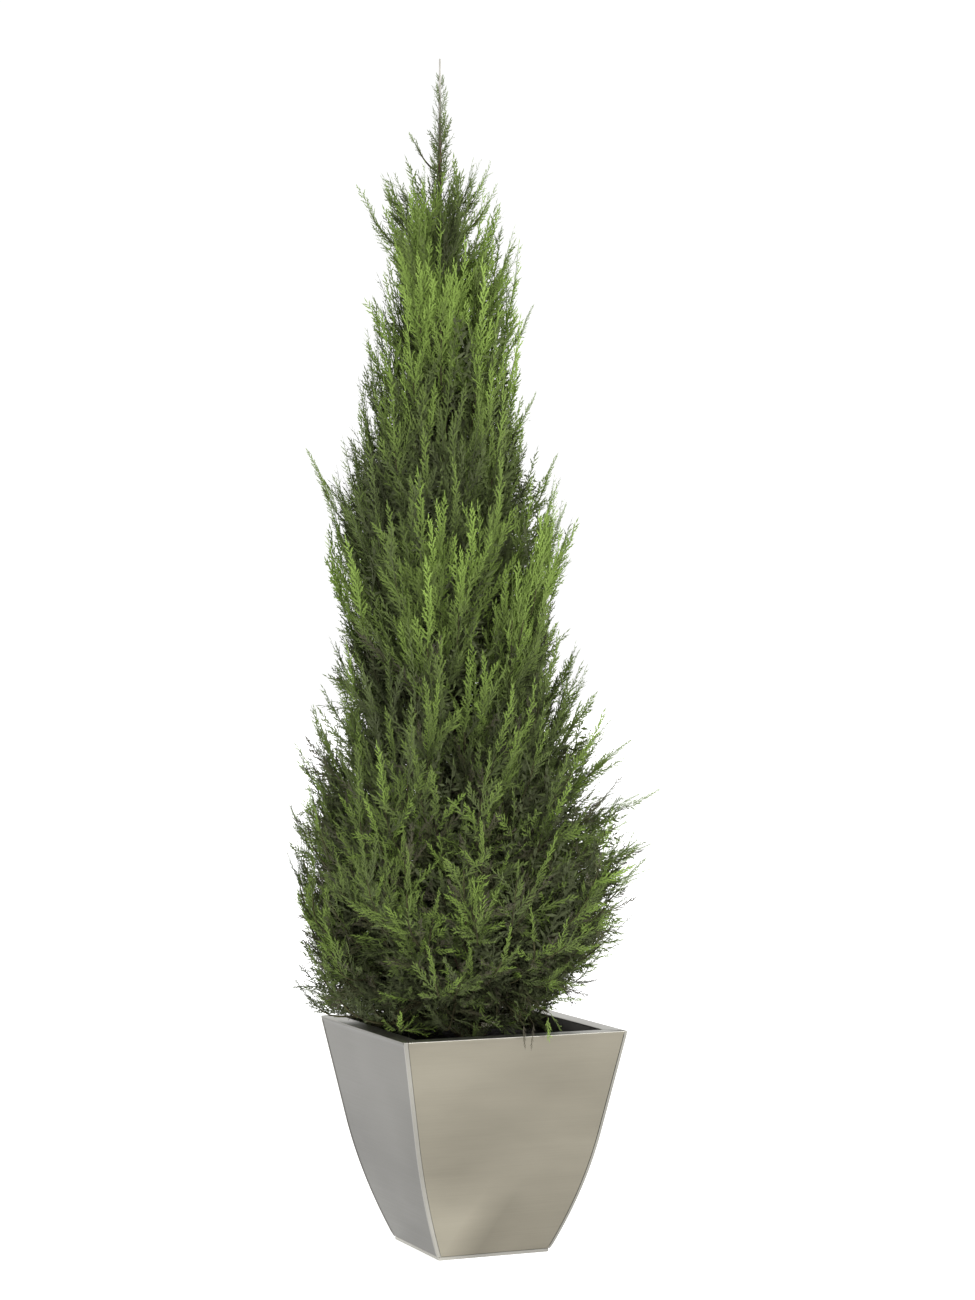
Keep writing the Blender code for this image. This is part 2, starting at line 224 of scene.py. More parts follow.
def brushed_steel(name, grain, deep, pale):
    """Brushed stainless steel, with the grain running across the stretched axis."""
    steel = Finish(name, {"Metallic": 1.0, "Roughness": 0.34})
    streak = steel.noise(1.0, 5.0, 0.70, grain)
    cloud = steel.noise(4.6, 1.5, stretch=(1, 1, 1.3))
    smear = steel.noise(2.4, 4.0, 0.6, (3, 3, 12))
    x = steel.axis(steel.place(), 0)
    z = steel.axis(steel.place(), 2)
    # Painted light: the foot is paler, as from the floor's light, and a slanting patch across it is darker,
    # as painted shade.
    low = steel.clamp((PALE_BELOW - z) * 13)
    painted_shade_patch = steel.clamp((x - z * 0.5 + cloud * 0.05 + 0.075) * 15)
    tone = cloud * 0.62 + smear * 0.16 + streak * 0.18 + 0.05 + low * (0.24 - painted_shade_patch * 0.42)
    # Painted highlight: the rim's turned edge is lighter.
    painted_rim_highlight = steel.clamp((z - HEM_TOP) * 2500)
    body = steel.ramp(tone, (0.36, deep), (1.00, pale))
    steel.drive("Base Color", steel.blend(painted_rim_highlight, body, PAINTED_RIM_HIGHLIGHT))
    steel.drive("Roughness", 0.24 + streak * 0.16 + smear * 0.08)
    steel.relief(streak, 0.00012, 0.6)
    return steel


# Lit and shaded copies of one steel, as painted light: the front and back panels take the warmer, lighter
# one, and the sides the greyer, darker one as painted shade.
lit_steel = brushed_steel("steel_warm", (5, 5, 950), (0.178, 0.164, 0.130), (0.348, 0.324, 0.260))
shaded_steel = brushed_steel("steel_grey", (5, 5, 950), (0.103, 0.099, 0.088), (0.182, 0.177, 0.160))


def clip(value, low=0, high=1):
    return min(high, max(low, value))


def half_width(z):
    """Half the planter's outside width at a height."""
    t = clip(z / HEIGHT)
    top_slope = (1 - FOOT_SLOPE * BEND_SHARE / 2) / (1 - BEND_SHARE / 2)
    if t < BEND_SHARE:
        grown = FOOT_SLOPE * t - (FOOT_SLOPE - top_slope) * t * t / (2 * BEND_SHARE)
    else:
        grown = (FOOT_SLOPE + top_slope) * BEND_SHARE / 2 + top_slope * (t - BEND_SHARE)
    return (FOOT + (MOUTH - FOOT) * grown) / 2


def quarter_turn(x, y, z, quarter):
    c, s = ((1, 0), (0, 1), (-1, 0), (0, -1))[quarter]
    return c * x - s * y, s * x + c * y, z


def rounded(x, y, radius, steps, start=0.0):
    """Points of a rounded corner: a quarter circle about a centre, from a starting angle."""
    angles = [start + pi / 2 * i / steps for i in range(steps + 1)]
    return [(x + radius * cos(a), y + radius * sin(a)) for a in angles]


def lattice(rows, columns, rows_close=False, columns_close=False):
    """Four-sided faces between rows of points, which may close on themselves either way."""
    faces = []
    for row in range(rows if rows_close else rows - 1):
        after = (row + 1) % rows
        for i in range(columns if columns_close else columns - 1):
            j = (i + 1) % columns
            faces.append((row * columns + i, row * columns + j, after * columns + j, after * columns + i))
    return faces


def tube(rows, sides):
    """Faces of a tube that is closed at both ends."""
    return lattice(rows, sides, columns_close=True) + [range(sides), range((rows - 1) * sides, rows * sides)]


mouth, step = MOUTH / 2, HEIGHT - HEM
section = []  # distance from the axis and height of points round a panel's cut edge, from its foot outside
for i in range(PANEL_ROWS + 1):
    z = PLATE + EDGE_GAP + (step - PLATE - EDGE_GAP) * i / PANEL_ROWS
    section.append((half_width(z) - RECESS, z))
section += [(half_width(step) - RECESS * 0.6, step + 0.0003), (half_width(step), step + 0.0012)]
section += rounded(mouth - EDGE_ROUND, HEIGHT - EDGE_ROUND, EDGE_ROUND, 4)
section += [(LIP + EASE, HEIGHT), (LIP, HEIGHT - EASE), (LIP, HEIGHT - SHEET)]
section.append((mouth - RECESS - SHEET - 0.004, HEIGHT - SHEET))
section += [(section[i][0] - SHEET, section[i][1]) for i in range(PANEL_ROWS, -1, -6)]

wide = PANEL_COLUMNS + 1
for quarter, side in enumerate(("front", "right", "back", "left")):
    points = []
    for distance, z in section:
        reach = min(half_width(z) - POST, distance) - EDGE_GAP
        for i in range(wide):
            x = -reach + 2 * reach * i / PANEL_COLUMNS
            slack = cos(pi * x / (2 * reach)) * max(0.0, 1 - (2 * z / HEIGHT - 1) ** 4)
            wander = DENT * slack * noise.noise(Vector((x * 7, z * 6, quarter * 3.7)))
            points.append(quarter_turn(x, wander - distance, z, quarter))
    faces = lattice(len(section), wide, rows_close=True)
    for i in (0, PANEL_COLUMNS):
        faces.append([row * wide + i for row in range(len(section))])
    # The side panels take the darker copy: painted shade.
    steel = shaded_steel if quarter % 2 else lit_steel
    settle(make_object(f"sheet_{side}", points, faces, steel), "brushed_steel", f"planter_panel_{side}")


# ---------------- corner posts and foot
# Bright rounded bars of the same steel are welded up the four corners, where the panels' edges tuck in behind
# them. A folded tray closes the foot, and its turned edge shows as a thin band round the bottom.

POST_ROUND = 0.0020
POST_ROWS = 48
FOOT_ROUND = 0.0012
FOOT_CORNER = 0.0024
CORNER_STEPS = 5

post_steel = brushed_steel("steel_bright_bar", (700, 700, 12), (0.22, 0.213, 0.19), (0.41, 0.40, 0.36))
foot_steel = brushed_steel("steel_bright_foot", (40, 40, 700), (0.27, 0.262, 0.238), (0.50, 0.49, 0.44))

for quarter in range(4):
    points = []
    for row in range(POST_ROWS + 1):
        z = PLATE + SEAM + (HEIGHT - PLATE - SEAM) * row / POST_ROWS
        outer = half_width(z) - (EASE if row in (0, POST_ROWS) else 0.0)
        inner, centre = POST - outer, POST_ROUND - outer
        ring = [(inner, inner), (-outer, inner), *rounded(centre, centre, POST_ROUND, 6, pi), (inner, -outer)]
        points += [quarter_turn(x, y, z, quarter) for x, y in ring]
    post = make_object(f"corner_bar_{quarter + 1}", points, tube(POST_ROWS + 1, len(ring)), post_steel)
    settle(post, "brushed_steel", f"planter_post_{quarter + 1}")

points = []
profile = [(0.0, FOOT_ROUND), (EASE, EASE / 2), (FOOT_ROUND, 0.0), (PLATE - FOOT_ROUND, 0.0), (PLATE, EASE)]
for z, inset in profile:
    centre = FOOT / 2 - inset - FOOT_CORNER
    for quarter, (x, y) in enumerate(((1, 1), (-1, 1), (-1, -1), (1, -1))):
        corner = rounded(centre * x, centre * y, FOOT_CORNER, CORNER_STEPS, pi / 2 * quarter)
        points += [(*spot, z) for spot in corner]
foot = make_object("foot_tray", points, tube(len(profile), 4 * (CORNER_STEPS + 1)), foot_steel)
settle(foot, "brushed_steel", "planter_base")


# ---------------- compost
# Dark, damp potting compost fills the planter to two fingers below the rim, mounded up round the stem. It is
# peat mixed with fine bark, so its top is rough, with crumbs and chips lying on it.

COMPOST_DEPTH = 0.034  # below the rim, at the planter's walls
WALL_ROWS = (0.30, 0.22, 0.14, 0.07, PLATE + SEAM)  # heights
MOUND = 0.012
LUMPS = (0.0030, 30), (0.0016, 95), (0.0009, 260)  # height, and about how many to the metre
COMPOST_CELLS = 110
CRUMB_DENSITY = 16000  # to the square metre
CRUMBS_ABOVE = 0.33

peat = Finish("compost_damp", {"Roughness": 0.95, "Specular IOR Level": 0.25})
grains = peat.noise(260.0, 5.0, 0.7)
patches = peat.noise(22.0)
peat.drive("Base Color", peat.ramp(
    grains * 0.7 + patches * 0.3,
    (0.30, (0.006, 0.005, 0.004)), (0.52, (0.022, 0.016, 0.011)), (0.72, (0.070, 0.048, 0.030)),
))
peat.drive("Roughness", 0.98 - patches * 0.3)
peat.relief(grains, 0.0015)

chips = Finish("compost_chips", {"Specular IOR Level": 0.3})
chip_tone = chips.noise(120.0, 2.0)
chips.drive("Base Color", chips.ramp(
    chip_tone,
    (0.35, (0.014, 0.010, 0.007)), (0.62, (0.055, 0.034, 0.020)), (0.75, (0.110, 0.072, 0.045)),
))
chips.drive("Roughness", 0.95 - chip_tone * 0.25)


def inside_planter(z):
    """From the axis to the compost's side at a height, a hair clear of the sheet."""
    return half_width(z) - RECESS - SHEET - 0.0006


BRIM = inside_planter(HEIGHT - COMPOST_DEPTH)


def compost_top(x, y):
    share = max(abs(x), abs(y)) / BRIM
    t = clip(1.4 * (1 - share))
    rise = MOUND * t * t * (3 - 2 * t)
    spot = Vector((x, y, 0.0))
    lumps = sum(size * noise.noise(spot * often) for size, often in LUMPS)
    return HEIGHT - COMPOST_DEPTH + rise + lumps * min(1.0, 8 * (1 - share))


points = []
wide = COMPOST_CELLS + 1
for row in range(wide):
    for column in range(wide):
        x = -BRIM + 2 * BRIM * column / COMPOST_CELLS
        y = -BRIM + 2 * BRIM * row / COMPOST_CELLS
        points.append((x, y, compost_top(x, y)))
faces = lattice(wide, wide)
right, last = COMPOST_CELLS, COMPOST_CELLS * wide
edge = [*range(right), *range(right, last + right, wide)]
edge += [*range(last + right, last, -1), *range(last, 0, -wide)]
for z in WALL_ROWS:
    start = len(points)
    for index in edge:
        x, y, _ = points[index]
        scale = inside_planter(z) / max(abs(x), abs(y))
        points.append((x * scale, y * scale, z))
    ring = list(range(start, len(points)))
    faces += zip(edge, edge[1:] + edge[:1], ring[1:] + ring[:1], ring)
    edge = ring
faces.append(edge)


class Recipe(Nodes):
    """A geometry node tree with named inputs, run once on an object to make a plain mesh."""

    def __init__(self, name, inputs):
        super().__init__(bpy.data.node_groups.new(name, "GeometryNodeTree"))
        new_socket = self.tree.interface.new_socket
        new_socket("Geometry", in_out="OUTPUT", socket_type="NodeSocketGeometry")
        for label, kind in {"Geometry": "Geometry", **inputs}.items():
            new_socket(label, in_out="INPUT", socket_type=f"NodeSocket{kind}")
        self.source = self.tree.nodes.new("NodeGroupInput")

    def input(self, label):
        return Value(self, self.source.outputs[label])

    def named(self, label, kind="FLOAT"):
        return self.add("GeometryNodeInputNamedAttribute", {"Name": label}, data_type=kind)

    def compare(self, first, second, operation="GREATER_THAN"):
        return self.add("FunctionNodeCompare", {0: first, 1: second}, data_type="FLOAT", operation=operation)

    def result(self, geometry, material):
        """Joins the instances into one mesh and gives it its material."""
        joined = self.add("GeometryNodeRealizeInstances", {"Geometry": geometry})
        self.output(self.add("GeometryNodeSetMaterial", {"Geometry": joined, "Material": material}))

    def output(self, geometry):
        sink = self.tree.nodes.new("NodeGroupOutput")
        self.tree.links.new(geometry.socket, sink.inputs[0])

    def make(self, name, start, values):
        """Runs the tree on an object and returns the result as a new plain mesh object."""
        modifier = start.modifiers.new("recipe", "NODES")
        modifier.node_group = self.tree
        for item in self.tree.interface.items_tree:
            if item.in_out == "INPUT" and item.name in values:
                modifier[item.identifier] = values[item.name]
        bpy.context.view_layer.update()
        evaluated = start.evaluated_get(bpy.context.evaluated_depsgraph_get())
        mesh = bpy.data.meshes.new_from_object(evaluated)
        mesh.name = name
        start.modifiers.remove(modifier)
        bpy.data.objects.remove(start)
        return in_scene(name, mesh)


compost = make_object("compost_block", points, faces, peat)
settle(compost, "compost", "potting_compost")

scatter = Recipe("crumbs", {"Density": "Float", "Seed": "Int"})
top_only = scatter.compare(scatter.axis(scatter.add("GeometryNodeInputNormal"), 2), 0.6)
high_only = scatter.compare(scatter.axis(scatter.add("GeometryNodeInputPosition"), 2), CRUMBS_ABOVE)
both = scatter.add("FunctionNodeBooleanMath", {0: top_only, 1: high_only}, operation="AND")
spots = scatter.add("GeometryNodeDistributePointsOnFaces", {
    "Mesh": scatter.input("Geometry"), "Selection": both,
    "Density": scatter.input("Density"), "Seed": scatter.input("Seed"),
})
crumb = scatter.add("GeometryNodeMeshIcoSphere", {"Radius": 0.0016, "Subdivisions": 1})
crumb_size, crumb_turn = (
    scatter.add("FunctionNodeRandomValue", {0: least, 1: most, "Seed": seed}, data_type="FLOAT_VECTOR")
    for least, most, seed in (((0.5, 0.4, 0.3), (2.6, 1.3, 0.8), 5), ((-0.5, -0.5, 0.0), (0.5, 0.5, 6.3), 9))
)
crumb_turn = scatter.add("FunctionNodeEulerToRotation", {0: crumb_turn})
scatter.result(scatter.add("GeometryNodeInstanceOnPoints", {
    "Points": spots, "Instance": crumb, "Rotation": crumb_turn, "Scale": crumb_size,
}), chips.material)
crumbs = scatter.make("compost_crumbs", compost.copy(), {"Density": CRUMB_DENSITY, "Seed": 3})
settle(crumbs, "compost")


# ---------------- trunk
# A single stem as thick as a broom handle, drawn out to a whip at the top, where it leans a little. Its bark
# is thin, red-brown and fibrous, and peels in upright strips. Five roots spread where it enters the compost.

TREE_TOP = 2.017
TRUNK_FOOT = 0.3563
TRUNK_RADIUS = 0.0165
TIP_RADIUS = 0.0015
TRUNK_TAPER = 0.85
WHIP_FROM = 1.86  # above this height the stem is a thin, pale whip
ROOT_FLARE = 0.009
FLARE_HEIGHT = 0.030
FLARE_LOBES = 5
FLARE_LOBE_DEPTH = 0.35
LEAN = 0.053
LEAN_FROM = 0.35
LEAN_TO = 1.65
SIDEWAYS = -23.4  # degrees from +X to the side that bearings are counted from
TRUNK_SIDES = 44
TRUNK_ROWS = 420
BARK_DEPTH = 0.10  # relief, as a share of the radius

bark = Finish("bark_fibrous", {"Roughness": 0.9, "Specular IOR Level": 0.25})
fibres = bark.noise(1.0, 5.0, 0.65, (900, 900, 70))
flakes = bark.noise(1.0, 3.0, 0.6, (160, 160, 30))
old_bark = bark.ramp(
    fibres * 0.6 + flakes * 0.4,
    (0.28, (0.018, 0.012, 0.008)), (0.48, (0.052, 0.034, 0.020)), (0.70, (0.115, 0.082, 0.050)),
)
young_bark = bark.ramp(fibres, (0.30, (0.26, 0.25, 0.22)), (0.65, (0.43, 0.42, 0.39)))
height = bark.axis(bark.place(), 2)
bark.drive("Base Color", bark.blend(bark.clamp((height - WHIP_FROM) * 9), old_bark, young_bark))
bark.drive("Roughness", 1.0 - flakes * 0.25)
bark.relief(fibres, 0.0008, 0.8)


def smooth(t):
    """Rises gently from 0 to 1 as t does, and stays level beyond."""
    t = clip(t)
    return t * t * (3 - 2 * t)


def direction(bearing):
    """A level direction from the trunk. Bearing 0 is the fuller side, and bearings run anticlockwise."""
    a = radians(SIDEWAYS + bearing)
    return Vector((cos(a), sin(a), 0))


def trunk_axis(z):
    return direction(180) * LEAN * smooth((z - LEAN_FROM) / (LEAN_TO - LEAN_FROM)) + UP * z


def trunk_radius(z):
    t = max(0.0, (z - TRUNK_FOOT) / (TREE_TOP - TRUNK_FOOT))
    return TRUNK_RADIUS + (TIP_RADIUS - TRUNK_RADIUS) * t ** TRUNK_TAPER


points = []
for row in range(TRUNK_ROWS + 1):
    z = TRUNK_FOOT + (TREE_TOP - TRUNK_FOOT) * row / TRUNK_ROWS
    flare = max(0.0, 1 - (z - TRUNK_FOOT) / FLARE_HEIGHT) ** 2
    for i in range(TRUNK_SIDES):
        a = 2 * pi * i / TRUNK_SIDES
        lobes = 1 + FLARE_LOBE_DEPTH * cos(FLARE_LOBES * a)
        spot = Vector((cos(a) * 3.2, sin(a) * 3.2, z * 13))
        strips = noise.noise(spot) + 0.5 * noise.noise(spot * 2.3)
        radius = trunk_radius(z) * (1 + BARK_DEPTH * strips) + ROOT_FLARE * flare * lobes
        points.append(trunk_axis(z) + Vector((cos(a), sin(a), 0)) * radius)
settle(make_object("trunk_bark", points, tube(TRUNK_ROWS + 1, TRUNK_SIDES), bark), "bark", "trunk")


# ---------------- growth of the crown
# The tree was never clipped, so limbs leave the stem all the way up, and sweep from the level at the foot to
# nearly upright at the top. Each forks into side branches, and all of them carry flat sprays of leaf.

CROWN_OUTLINE = (  # in millimetres: height, then the crown's radius at bearing 180 and at bearing 0
    (375, 210, 150), (402, 272, 180), (442, 304, 206), (485, 292, 226), (527, 276, 266), (570, 286, 294),
    (612, 290, 296), (655, 296, 302), (700, 304, 308), (740, 296, 304), (782, 288, 276), (825, 276, 274),
    (867, 278, 258), (910, 254, 262), (952, 232, 250), (995, 212, 222), (1037, 190, 204), (1080, 176, 164),
    (1120, 178, 162), (1172, 216, 206), (1240, 220, 218), (1300, 200, 192), (1360, 174, 150),
    (1420, 144, 146), (1530, 132, 134), (1600, 118, 156), (1670, 110, 138), (1740, 112, 130),
    (1790, 116, 94), (1828, 90, 74), (1858, 36, 28), (1890, 20, 12), (1930, 9, 6), (1990, 3, 3),
)
RAYS = 40
MASSES = (  # name of a layer of foliage, its top, and the rays at which its masses begin
    ("skirt", 0.590, (2, 10, 17, 26, 33)), ("lower", 0.850, (6, 13, 22, 30, 38)),
    ("middle", 1.130, (1, 9, 18, 25, 34)), ("upper", 1.420, (5, 15, 25, 36)),
    ("shoulder", 1.650, (0, 11, 20, 31)), ("top", 1.800, (6, 16, 25, 36)),
)
BOUGHS = (("skirt", 5), ("lower", 5), ("middle", 5), ("upper", 4))
LIMBS = 158
STEPS = 300  # of height, over which the crown's surface is added up to share it among the limbs
LOWEST, HIGHEST = 0.405, 1.835
GOLDEN_ANGLE = 137.508
FORKS = (0.28, 0.46, 0.62)  # shares of a limb's length at which it forks
FILLED = *range(16, 64, 6), *range(64, 84, 4)  # hundredths of a limb's length with old growth
BOUGH_SHARE = 0.42  # radius of a bough at its root, as a share of the trunk's there
LIMB_SHARE = 0.24  # and of a lesser limb
FORK_TIP = 0.0009  # radius
LIMB_TIP = FORK_TIP * 1.3
TWIG_TIP = 0.0006
CLEAR = 0.006  # shoots stay at least this far inside the tree's greatest width
SPRAY_MARGIN = 0.024  # sprays end this far above the rim or inside its lip
LIMB_MARGIN = 0.008  # limbs that come this near to the lip pass over the rim
LIMB_RISE = 0.012  # and clear it by this much
SPRAY_SPACING = 0.0125  # along a limb
GAPS = 0.42  # share of the sprays that is missing in the crown's furrows
FORK_SPREAD = 0.062  # how far beside its limb a fork ends
TRIES = 9  # at fitting a spray into the crown: it is turned up first, and then made smaller
TURN_TRIES = 4
PLUMES, FANS, LEADER, SHADE, TUFT, SPRIG = (0, 1, 2, 3), (4, 5, 6, 7), 8, 9, 10, 11  # kinds of spray
SPRAY_LENGTHS = (0.098, 0.086, 0.110, 0.076, 0.070, 0.060, 0.082, 0.054, 0.135, 0.130, 0.046, 0.085)
BROWNED, BROWN = 7, 9  # a green that is olive, with brown ends, and one that is brown all over
LONG_SHOOTS = (  # in millimetres: the tip's distance towards bearing 0, its height, its distance towards
    # bearing 90, and the length that stands free of the rest
    (-194, 1798, 0, 100), (-131, 1822, 20, 80), (-153, 1812, -10, 80), (-104, 1812, 10, 70),
    (17, 1838, -20, 80), (37, 1838, -10, 90), (43, 1797, -30, 70), (82, 1690, 0, 80), (-112, 1905, 0, 70),
    (-163, 1616, 20, 80), (105, 1599, 10, 80), (105, 1454, 30, 80), (-274, 1352, 0, 140),
    (-255, 1290, 10, 140), (-235, 1310, 40, 120), (-219, 1259, -40, 120), (-226, 1190, 0, 100),
    (145, 1344, 20, 120), (150, 1300, -20, 120), (168, 1216, -30, 100), (158, 1262, 10, 100),
    (-240, 1036, 20, 80), (-268, 893, 30, 100), (-262, 850, 20, 80), (185, 1012, 0, 80), (274, 856, 0, 110),
    (240, 893, -60, 110), (255, 835, 50, 100), (321, 774, 0, 110), (290, 760, 40, 100), (304, 685, -40, 90),
    (-308, 700, 60, 80), (-300, 640, 50, 80), (-304, 740, 30, 80), (296, 650, 20, 90), (282, 625, -40, 80),
    (20, 1370, 200, 120), (-80, 1060, 260, 100), (90, 840, 290, 100), (-50, 1610, 160, 100),
    (52, 1722, 0, 100), (66, 1668, -40, 100), (72, 1640, 30, 100), (40, 1742, -30, 90),
)
RIM_SHOOTS = (  # where a low shoot bends over, in millimetres, which way it then goes, size, kind and green
    ((6, -210, 398), (0.06, -0.10, -1), 0.27, LEADER, BROWN),
    ((23, -211, 399), (-0.10, -0.10, -1), 0.30, LEADER, BROWN),
    ((14, -196, 404), (0.30, -0.30, 0.60), 0.55, TUFT, 2),
    ((2, -194, 402), (-0.35, -0.20, 0.70), 0.50, TUFT, 1),
    ((50, -209, 408), (0.06, -0.12, -1), 0.70, TUFT, 3),
    ((56, -205, 414), (0.40, -0.20, -0.60), 0.60, TUFT, 2),
    ((-186, -140, 390), (-0.10, -0.35, 1.00), 0.62, TUFT, 4),
    ((-184, -144, 390), (0.55, -0.45, 0.45), 0.62, FANS[3], 4),
    ((-180, -150, 392), (0.85, -0.60, 0.05), 0.70, FANS[3], 4),
    ((-172, -146, 392), (0.90, -0.20, 0.20), 0.70, FANS[1], 3),
    ((-190, -134, 391), (-0.60, -0.30, 0.25), 0.60, FANS[1], 3),
    ((-100, -172, 408), (0.50, -0.40, -0.05), 0.75, FANS[3], 1),
    ((-60, -176, 410), (0.40, -0.50, -0.08), 0.70, FANS[1], 2),
    ((-30, -180, 412), (-0.30, -0.50, -0.08), 0.70, FANS[3], 1),
)

chance = random.Random(40)
between = chance.uniform
noise.seed_set(2026)
limb_lines = {"boughs": [], "limbs": [], "twigs": []}
sprays = {}


def swell(z, bearing):
    """Between -1 in the upright furrows of the crown and 1 on the ridges between them."""
    a = radians(bearing)
    return clip(2.1 * noise.noise(Vector((5.0 * cos(a) + 7, 5.0 * sin(a), 2.6 * z))), -1)


outline = [[size / 1000 for size in row] for row in CROWN_OUTLINE]
heights = [row[0] for row in outline]


def crown_radius(z, bearing):
    i = clip(bisect.bisect(heights, z) - 1, 0, len(outline) - 2)
    low, high = outline[i], outline[i + 1]
    t = smooth((z - low[0]) / (high[0] - low[0]))
    left, right = (low[k] + (high[k] - low[k]) * t for k in (1, 2))
    a = radians(bearing)
    radius = (left + right) / 2 + (right - left) / 2 * cos(a)
    radius *= 1 - 0.34 * (1 - smooth((z - 0.395) / 0.08)) * max(0, -sin(a))  # it clears the rim at the front
    across = sin(a) ** 2
    return radius * (1 - 0.03 * across + 0.11 * (0.15 + 0.85 * across) * swell(z, bearing))


def foot_share(z):
    """1 at the crown's foot, where growth is short and bushy, and 0 where it stands up in plumes."""
    return 1 - smooth((z - 0.62) / 0.42)


def steepness(z, bearing):
    """How far above the level a shoot points, in degrees: less on the fuller side, low down."""
    rising = 28 + 34 * smooth((z - 0.40) / 0.22) + 14 * smooth((z - 0.62) / 0.45)
    rising += 6 * smooth((z - 1.1) / 0.6) - 12 * smooth((z - 1.50) / 0.20)
    level_side = cos(radians(bearing))
    return rising - (34 if level_side > 0 else 2) * level_side * (1 - smooth((z - 0.72) / 0.4))


def mass_at(z, bearing):
    """The foliage solid that a place in the crown belongs to."""
    ray = bearing % 360 / 360 * RAYS
    for layer, top, first in MASSES:
        if z < top:
            return f"foliage_{layer}_{bisect.bisect(first, ray) or len(first)}"
    return "foliage_spire"


def bearing_of(spoke):
    return degrees(atan2(spoke.y, spoke.x)) - SIDEWAYS


def raised(out, lift):
    """A level direction, turned up by an angle."""
    return out * cos(lift) + UP * sin(lift)


def grow(kind, root, leaving, end, arriving, count, thick, thin, power=0.8, before=()):
    """Adds a limb, which leaves its root one way and arrives at its end another. Returns its centre line."""
    reach = (end - root).length * 0.38
    a, b, c, d = root, root + leaving * reach, end - arriving * reach, end
    wander = Vector([between(-50, 50) for _ in range(3)])
    line = list(before)
    for i in range(count + 1):
        t = i / count
        place = a * (1 - t) ** 3 + b * 3 * t * (1 - t) ** 2 + c * 3 * t * t * (1 - t) + d * t ** 3
        place += noise.noise_vector(wander + UP * t * 2.5) * 0.035 * (end - root).length * sin(pi * t)
        for axis in (0, 1):
            place[axis] = clip(place[axis], cad_box[0][axis] + CLEAR, cad_box[1][axis] - CLEAR)
        if max(abs(place.x), abs(place.y)) > LIP - LIMB_MARGIN:
            place.z = max(HEIGHT + LIMB_RISE, place.z)
        line.append(place)
    last = len(line) - 1
    radii = [thick + (thin - thick) * (i / last) ** power for i in range(last + 1)]
    limb_lines[kind].append((line, radii))
    return line


def aim(z, bearing, length, share):
    """Where a shoot starts, and which way it points, if its tip is to reach a share of the crown's radius."""
    out = direction(bearing)
    tip = trunk_axis(z) + out * crown_radius(z, bearing) * share
    lift = steepness(z, bearing) + chance.gauss(0, 8 + 12 * foot_share(z) + 4 * smooth((z - 1.5) / 0.2))
    lift = radians(clip(lift, -15, 80))
    sideways = out.cross(UP) * between(-0.10, 0.10) * (1 + 2 * foot_share(z))
    way = (raised(out, lift) + sideways).normalized()
    return tip - way * length, way


def add_spray(mass, place, along, facing, size, kind, tint, loose=0.40, free=False, limit=1.04):
    """Adds one spray, with its stem along one direction and its flat side more or less turned to another.

    Unless it is a free shoot, one that would stand out of the crown turns up, and then stays short.
    """
    along = along.normalized()
    for attempt in range(TRIES):
        tip = place + along * SPRAY_LENGTHS[kind] * size
        spoke = (tip - trunk_axis(tip.z)).xy
        room = crown_radius(tip.z, bearing_of(spoke)) * limit
        low = tip.z < HEIGHT + SPRAY_MARGIN or place.z < HEIGHT + LIMB_MARGIN
        low_over_steel = low and max(abs(tip.x), abs(tip.y)) > LIP - SPRAY_MARGIN
        outside = any(tip[i] < cad_box[0][i] + CLEAR or tip[i] > cad_box[1][i] - CLEAR for i in (0, 1))
        if not outside and (free or spoke.length < room and not low_over_steel):
            break
        if attempt < TURN_TRIES and not free:
            along = (along + UP * 0.16).normalized()
        else:
            size *= 0.84
    flat = facing - along * facing.dot(along)
    roll = between(-90, 90) if chance.random() < loose else chance.gauss(0, 24)
    flat = Quaternion(along, radians(roll)) @ flat.normalized()
    across = along.cross(flat)
    turn = Matrix((across, along, flat)).transposed().to_quaternion()
    sprays.setdefault(mass, []).append((place, turn, size, kind, tint))


def tint_at(place, depth, mood):
    """Which green a spray has: brighter at the outside and in patches, darker within. Its brighter sunny side
    is painted light; its darker inside, furrows and foot are painted shade.
    """
    z = place.z
    bearing = bearing_of(place - trunk_axis(z))
    sunny = cos(radians(bearing))
    # The crown's furrows get darker greens, as painted shade, and its ridges lighter ones, as painted light.
    patches_and_painted_light = noise.noise(place * 5.5) * 0.9 + noise.noise(place * 17 + UP * 3) * 0.6 + 0.8 * swell(z, bearing)
    # The side towards the light, where sunny is 1, gets lighter greens: painted light.
    patches_and_painted_light += 1.3 * smooth((z - 1.25) / 0.4) + (0.50 + 0.5 * smooth((z - 1.55) / 0.1)) * sunny
    patches_and_painted_light -= 2.4 * smooth((z - 1.56) / 0.08) * (1 - sunny * sunny) ** 2  # the top's front and back are dull
    patches_and_painted_light *= 1 - 0.4 * foot_share(z - 0.1)
    patches_and_painted_light -= 0.35 * smooth((1.35 - z) / 0.2) * smooth((z - 0.7) / 0.2)  # and so is the middle
    # Painted shade: sprays are darker low down, most of all just above the rim, under the crown.
    foot = 0.6 * (1 - smooth((z - 0.4) / 0.5)) + 2.8 * (1 - smooth((z - 0.37) / 0.14))
    if depth > 0.12 and chance.random() < 0.30 * foot_share(z):
        return BROWNED
    scatter = chance.gauss(0, 0.35 + 0.45 * foot_share(z))
    # Sprays deeper inside the crown are darker: painted shade.
    return round(clip(2.9 + mood + patches_and_painted_light - foot - 3.2 * depth + scatter, 0, 4))


def along_line(line, s):
    """A place on a limb, with its direction, the way outwards, and how deep in the crown it lies."""
    at = min(s * (len(line) - 1), len(line) - 1.001)
    i = int(at)
    place = line[i].lerp(line[i + 1], at - i)
    spoke = place - trunk_axis(place.z)
    out = spoke.normalized() if spoke.length > 0.004 else direction(between(0, 360))
    depth = 1 - min(1.0, spoke.length / max(0.02, crown_radius(place.z, bearing_of(spoke))))
    return place, (line[i + 1] - line[i]).normalized(), out, depth


